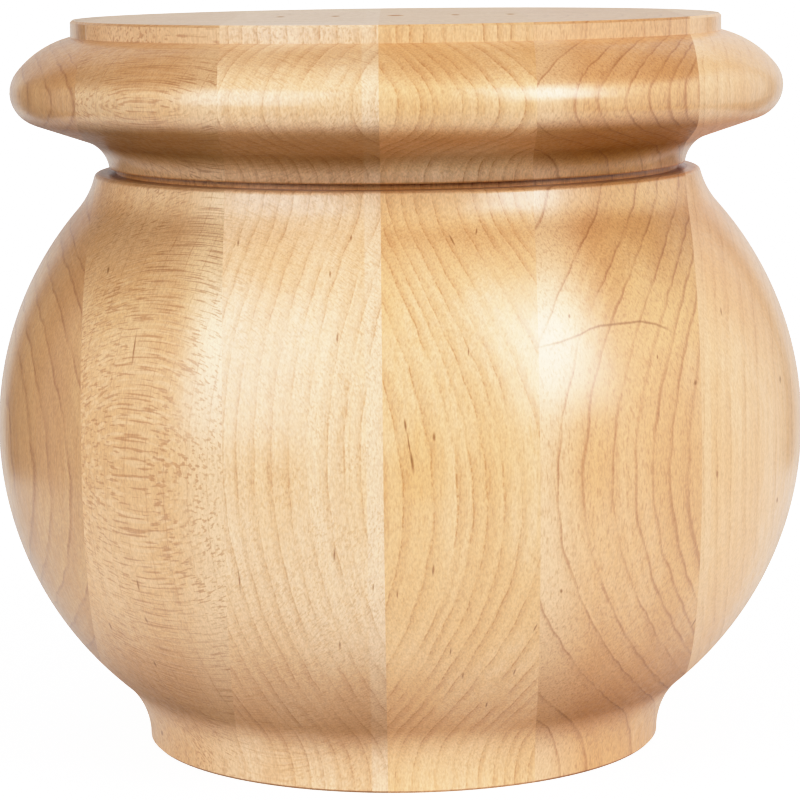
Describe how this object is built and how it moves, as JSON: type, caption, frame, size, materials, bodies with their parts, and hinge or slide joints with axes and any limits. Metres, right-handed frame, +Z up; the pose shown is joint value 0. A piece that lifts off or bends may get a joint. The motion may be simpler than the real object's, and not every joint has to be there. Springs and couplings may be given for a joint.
{
  "type": "bun foot",
  "caption": "Squat turned wooden bun foot with a round belly, a coved neck and a beaded flat top, to stand under a cabinet, chest or sofa.",
  "frame": {"origin": "centre of the sole, on the floor", "axes": "+Z up along the axis of turning, from the sole to the flat top; +X along the row of driver marks in the top and across the blank's glue lines"},
  "size_m": [0.127, 0.127, 0.1143],
  "materials": {
    "maple": "clear satin lacquer on glued-up hard maple, grain upright"
  },
  "bodies": {
    "root": {"turned_foot": "maple"}
  },
  "joints": []
}
